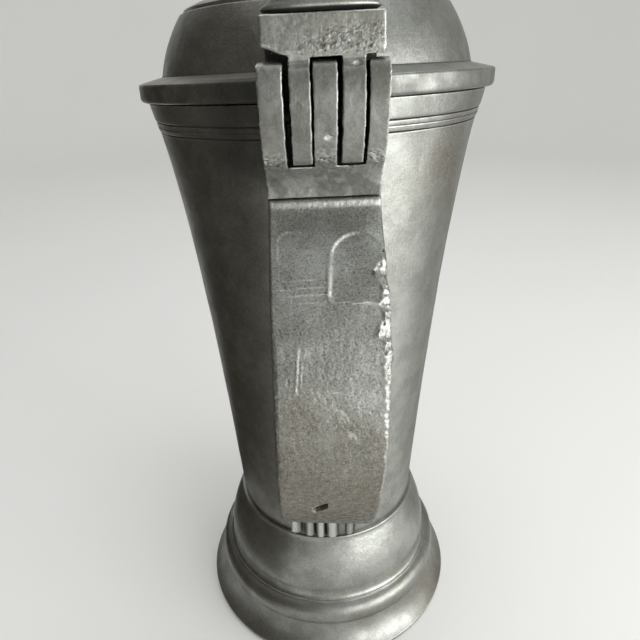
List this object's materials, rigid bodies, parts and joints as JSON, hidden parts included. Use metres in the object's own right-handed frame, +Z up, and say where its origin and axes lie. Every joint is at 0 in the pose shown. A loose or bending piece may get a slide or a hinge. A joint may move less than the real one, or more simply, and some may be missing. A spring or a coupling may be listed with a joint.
{
  "type": "lidded beer stein",
  "caption": "Tall lidded pewter beer stein: tapered drum on a hollow moulded foot, flat hollow strap handle, domed lid on a knuckle hinge with a thumbpiece.",
  "frame": {"origin": "on the table, under the centre of the bounding box; the drum axis stands 13.81 mm in front of it, on +Y", "axes": "+Z up along the drum, +Y to the front away from the handle, +X to the right-hand side seen from behind, along the hinge pin"},
  "size_m": [0.1, 0.1276, 0.2323],
  "materials": {
    "drum_metal": "turned pewter, dull grey patina with polished high spots",
    "bottom_plate_metal": "turned pewter, dull grey patina with polished high spots",
    "foot_metal": "turned pewter, dull grey patina with polished high spots",
    "handle_hinge_block_metal": "cast pewter, filed and worn, pitted in places",
    "handle_strap_metal": "cast pewter, filed and worn, pitted in places",
    "handle_terminal_metal": "cast pewter, filed and worn, pitted in places",
    "hinge_pin_metal": "dark iron, worn bright at the ends",
    "lid_metal": "turned pewter, dull grey patina with polished high spots",
    "lid_hinge_lug_metal": "cast pewter, filed and worn, pitted in places",
    "thumbpiece_metal": "cast pewter, filed and worn, pitted in places"
  },
  "bodies": {
    "vessel": {"drum": "drum_metal", "bottom_plate": "bottom_plate_metal", "foot": "foot_metal", "handle_hinge_block": "handle_hinge_block_metal", "handle_strap": "handle_strap_metal", "handle_terminal": "handle_terminal_metal", "hinge_pin": "hinge_pin_metal"},
    "lid": {"lid": "lid_metal", "lid_hinge_lug": "lid_hinge_lug_metal", "thumbpiece": "thumbpiece_metal"}
  },
  "joints": [
    {"name": "lid_hinge", "type": "hinge", "parent": "vessel", "child": "lid", "pos_m": [0, -0.04449, 0.1875], "axis": [1, 0, 0], "range_deg": [0, 100]}
  ]
}
